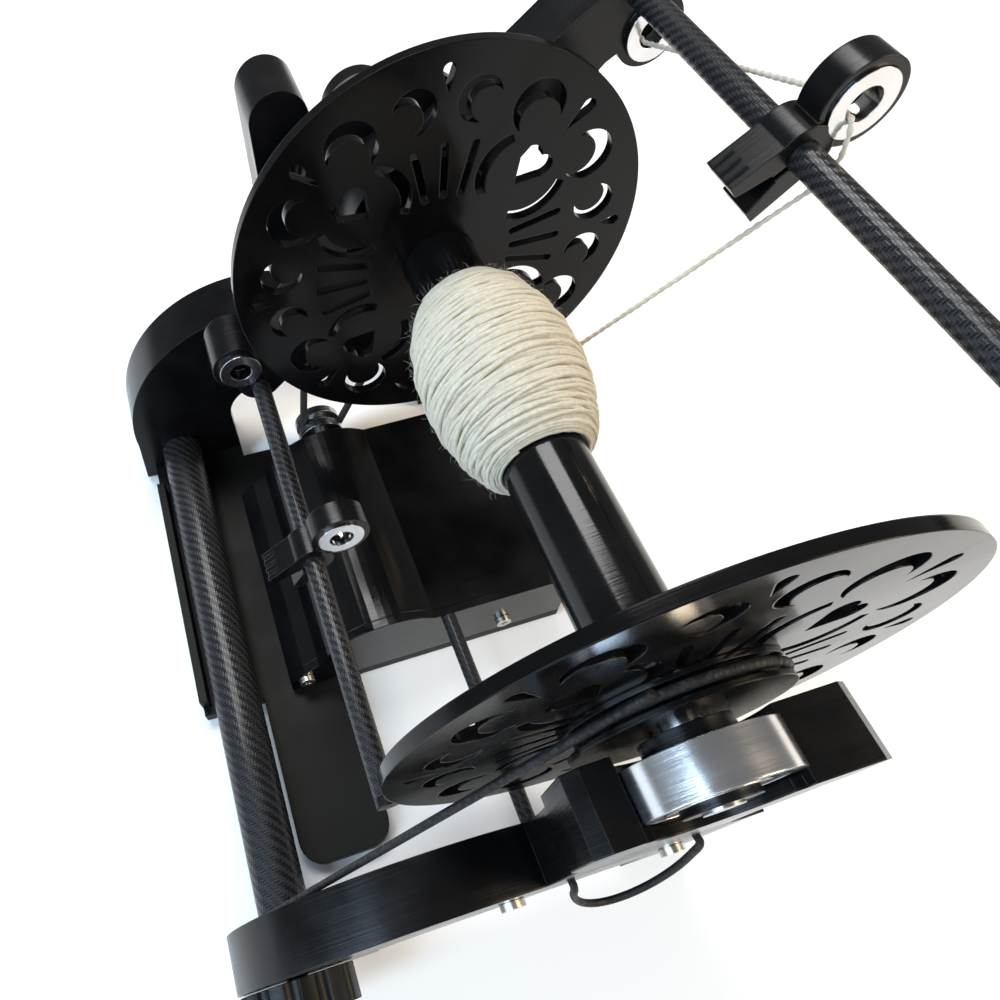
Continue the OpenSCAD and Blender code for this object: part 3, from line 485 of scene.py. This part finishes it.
def hairs(name, roots, normals, body, seed, length=(1.2, 4.0), radius=0.028):
    """Loose fibres that stand off the yarn, each a thin bent three-sided tube."""
    r = np.random.default_rng(seed)
    verts, faces = [], []
    for root, nrm in zip(roots, normals):
        nrm = np.array(nrm) / np.linalg.norm(nrm)
        side = np.cross(nrm, r.normal(size=3))
        side /= np.linalg.norm(side)
        ln = r.uniform(*length) * MM
        mid = np.array(root) + nrm * ln * r.uniform(0.12, 0.5) + side * ln * 0.45
        end = np.array(root) + nrm * ln * r.uniform(0.05, 0.6) + side * ln * r.uniform(0.7, 1.0)
        path = smooth_path([root, mid, end], 6)
        v, f = strand(path, radius * MM, 3, vary=np.linspace(1, 0.5, 6))
        off = len(verts)
        verts += v
        faces += [[k + off for k in q] for q in f]
    ob = new_mesh(name, verts, faces, M["wool"], body, "yarn_cream")
    add_shade(ob, seed, 40)
    return ob


roots, normals = [], []
for _ in range(HAIR_COUNT):
    u = rng.beta(0.8, 0.8)
    a = rng.uniform(0, 2 * math.pi)
    rad = heap_r(u) + 0.3
    roots.append(np.array(place((rad * math.cos(a), PACK_Y0 + PACK_LEN * u, rad * math.sin(a)))))
    normals.append((math.cos(a), rng.normal() * 0.3, math.sin(a)))
hairs("yarn_fuzz", roots, normals, "bobbin", 11)

# ---------------------------------------------------------------- strand and lead
# the flyer's rods, rings and sliders in mm, as in part.scad
ROD_R, REACH, EYE_BORE, EYELET_R = 73.5, 12.0, 7.0, 72.0
SLIDER_A_Y, HEAD_Y1, EYELET_TURN = 44.0, -16.0, math.radians(-8.1)
REST = EYE_BORE / 2 - YARN_D / 2 - 0.3
RING_REST, HEAD_REST, STRAND_R = ROD_R + REACH - REST, EYELET_R - REST, PACK_R + 0.3
END_TURN = math.radians(79.6)
SIDE = 0.85
STRAND = [
    (-SIDE, SLIDER_A_Y - 6.7, RING_REST), (-SIDE, SLIDER_A_Y + 4, RING_REST),
    (-2.2, SLIDER_A_Y + 5.6, RING_REST - 1.6), (-5.6, SLIDER_A_Y + 6.4, ROD_R + 5),
    (-8.8, SLIDER_A_Y + 6, ROD_R - 1),
    (-STRAND_R * math.sin(END_TURN), SLIDER_A_Y - 9, STRAND_R * math.cos(END_TURN)),
]
LEAD = [
    (math.sin(EYELET_TURN) * HEAD_REST, HEAD_Y1 - 4, math.cos(EYELET_TURN) * HEAD_REST),
    (math.sin(EYELET_TURN) * HEAD_REST, HEAD_Y1 + 0.5, math.cos(EYELET_TURN) * HEAD_REST),
    (-SIDE, SLIDER_A_Y - 6.5, RING_REST),
]


def fine_path(points, step):
    """The straight runs of points cut into steps, turned with the flyer, in metres."""
    out = []
    for a, b in zip(points, points[1:]):
        a, b = np.array(a, float), np.array(b, float)
        n = max(1, int(np.linalg.norm(b - a) / step))
        out += [a + (b - a) * i / n for i in range(n)]
    out.append(np.array(points[-1], float))
    return np.array([np.array(in_flyer(p)) for p in out])


def two_ply(name, points, body, node, seed):
    path = fine_path(points, 0.35)
    r = np.random.default_rng(seed)
    knots = r.uniform(0.85, 1.1, max(6, len(path) // 12))
    vary = np.interp(np.linspace(0, len(knots) - 1, len(path)), np.arange(len(knots)), knots)
    v, f = strand(path, PLY_R * MM, 10, twist=1500.0, plies=2, lobe=0.22, vary=vary)
    ob = new_mesh(name, v, f, M["wool"], body, "yarn_cream")
    add_shade(ob, seed, 30)
    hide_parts(node)
    picks = r.integers(2, len(path) - 2, 46)
    hairs(name + "_fuzz", [path[i] for i in picks], [r.normal(size=3) for _ in picks], body, seed + 1,
          (0.8, 2.4), 0.024)


# on the spinner the slider pulls the lead longer or shorter and the strand swings between the ring and the
# heap; here the strand and the lead are baked in place in one pose
two_ply("yarn_to_heap", STRAND, ("slider_a_body", "flyer", in_flyer(STRAND[-2]), in_flyer(STRAND[-1])),
        "yarn_strand", 21)
two_ply("yarn_to_ring", LEAD,
        ("flyer", "slider_a_body", in_flyer((0, LEAD[1][1], 0)), in_flyer((0, LEAD[2][1], 0))),
        "yarn_lead", 31)


# ---------------------------------------------------------------- brake cord, round and smooth
def brake_route():
    """The same route as cord_path in part.scad."""
    brake = (91.0, -100.0)
    whorl_y0 = 127.6
    rear_y0, rear_y1, cord_y = whorl_y0 + 7.0, whorl_y0 + 22.0, whorl_y0 + 2.75
    wrap_r, spool_r = 22 - 1.8 + 1 + 0.3, 4.5 + 1 + 0.3
    touch = math.atan2(brake[1], brake[0]) + math.acos((wrap_r - spool_r) / math.hypot(*brake))
    pts = []
    for i in range(-5, 1):
        a = touch + math.radians(30) * i
        pts.append((brake[0] + spool_r * math.cos(a), rear_y0 - 1.7, brake[1] + spool_r * math.sin(a)))
    for i in range(15):
        a = touch + (math.radians(186.7) - touch) * i / 14
        pts.append((wrap_r * math.cos(a), cord_y, wrap_r * math.sin(a)))
    pts += [(-20, cord_y, -33), (-16, cord_y, -52), (-15.2, rear_y0 - 1.2, -56), (-15, rear_y0 + 1, -57),
            (-15, rear_y1 - 1, -57)]
    for i in range(13):
        t = math.radians(15 * i)
        pts.append((0.5 - 15.5 * math.cos(t), rear_y1 + 2 + 5.5 * math.sin(t),
                    -57 - 9 * (1 - math.cos(t)) / 2 - 25 * math.sin(t)))
    pts += [(16, rear_y1 - 1, -66), (16, rear_y0 + 4, -66)]
    return pts


cord_points = [np.array(place(p)) for p in brake_route()]
CORD_R, CORD_STEPS = 1.0, 420
cord_line = smooth_path(cord_points, CORD_STEPS)
cord_v, cord_f = strand(cord_line, CORD_R * MM, 14)
cord_obj = new_mesh("brake_cord_round", cord_v, cord_f, M["cord"], "frame", "brake_cord_black")
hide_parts("brake_cord")

# ---------------------------------------------------------------- stage, light, camera
floor_mat = bpy.data.materials.new("pale_floor")
floor_mat.use_nodes = True
fb = floor_mat.node_tree.nodes["Principled BSDF"]
fb.inputs["Base Color"].default_value = (0.93, 0.93, 0.93, 1)
fb.inputs["Roughness"].default_value = 0.9
fb.inputs["Specular IOR Level"].default_value = 0.1
floor_me = bpy.data.meshes.new("floor")
FAR = 6
floor_me.from_pydata([(-FAR, -FAR, 0), (FAR, -FAR, 0), (FAR, FAR, 0), (-FAR, FAR, 0)], [], [(0, 1, 2, 3)])
floor_me.materials.append(floor_mat)
floor = bpy.data.objects.new("floor", floor_me)
bpy.context.scene.collection.objects.link(floor)

world = bpy.data.worlds.new("studio")
bpy.context.scene.world = world
world.use_nodes = True
world.node_tree.nodes["Background"].inputs["Color"].default_value = (1.0, 1.0, 1.0, 1)
world.node_tree.nodes["Background"].inputs["Strength"].default_value = 0.22


def area(name, where, aim, size_x, size_y, watts, tint=(1, 1, 1)):
    """A rectangular lamp at where, turned towards aim."""
    data = bpy.data.lights.new(name, "AREA")
    data.shape = "RECTANGLE"
    data.size, data.size_y = size_x, size_y
    data.energy = watts
    data.color = tint
    ob = bpy.data.objects.new(name, data)
    ob.location = where
    ob.rotation_mode = "QUATERNION"
    ob.rotation_quaternion = (Vector(aim) - Vector(where)).to_track_quat("-Z", "Y")
    bpy.context.scene.collection.objects.link(ob)
    return ob


area("window", (1.0, 0.35, 0.85), (0, 0, 0.08), 0.35, 1.2, 18, (0.60, 0.80, 1.0))
area("room", (-0.95, 0.45, 0.8), (0, 0, 0.1), 0.3, 0.8, 12, (1.0, 0.81, 0.57))
area("top", (0.1, -0.7, 1.5), (0, 0, 0.05), 0.9, 0.5, 17)
area("front", (0.2, 1.6, 0.9), (0, 0, 0.05), 0.5, 0.4, 4)

# camera fitted by least squares to points of the photo: focal length and centre in pixels of the
# square picture, turn as axis times angle, and shift in mm from the flyer axis
FOCAL_PX, CX, CY = 750.945, 362.34, 523.697
TURN = Vector((0.457, 2.967, -0.808))
SHIFT = Vector((21.137, -71.552, 205.683))
cam_data = bpy.data.cameras.new("camera")
cam = bpy.data.objects.new("camera", cam_data)
bpy.context.scene.collection.objects.link(cam)
bpy.context.scene.camera = cam
world_to_cam = Quaternion(TURN.normalized(), TURN.length).to_matrix()
cam_to_world = world_to_cam.transposed()
spot = place(cam_to_world @ (-SHIFT))
turn = (cam_to_world @ Matrix.Diagonal((1, -1, -1))).to_4x4()
cam.matrix_world = Matrix.Translation(spot) @ turn
PICTURE_PX, SENSOR_MM = 1000, 36
cam_data.sensor_width = SENSOR_MM
cam_data.lens = FOCAL_PX * SENSOR_MM / PICTURE_PX
cam_data.shift_x = (PICTURE_PX / 2 - CX) / PICTURE_PX
cam_data.shift_y = (CY - PICTURE_PX / 2) / PICTURE_PX
cam_data.clip_start, cam_data.clip_end = 0.01, 20
bpy.context.scene.view_settings.view_transform = "Standard"
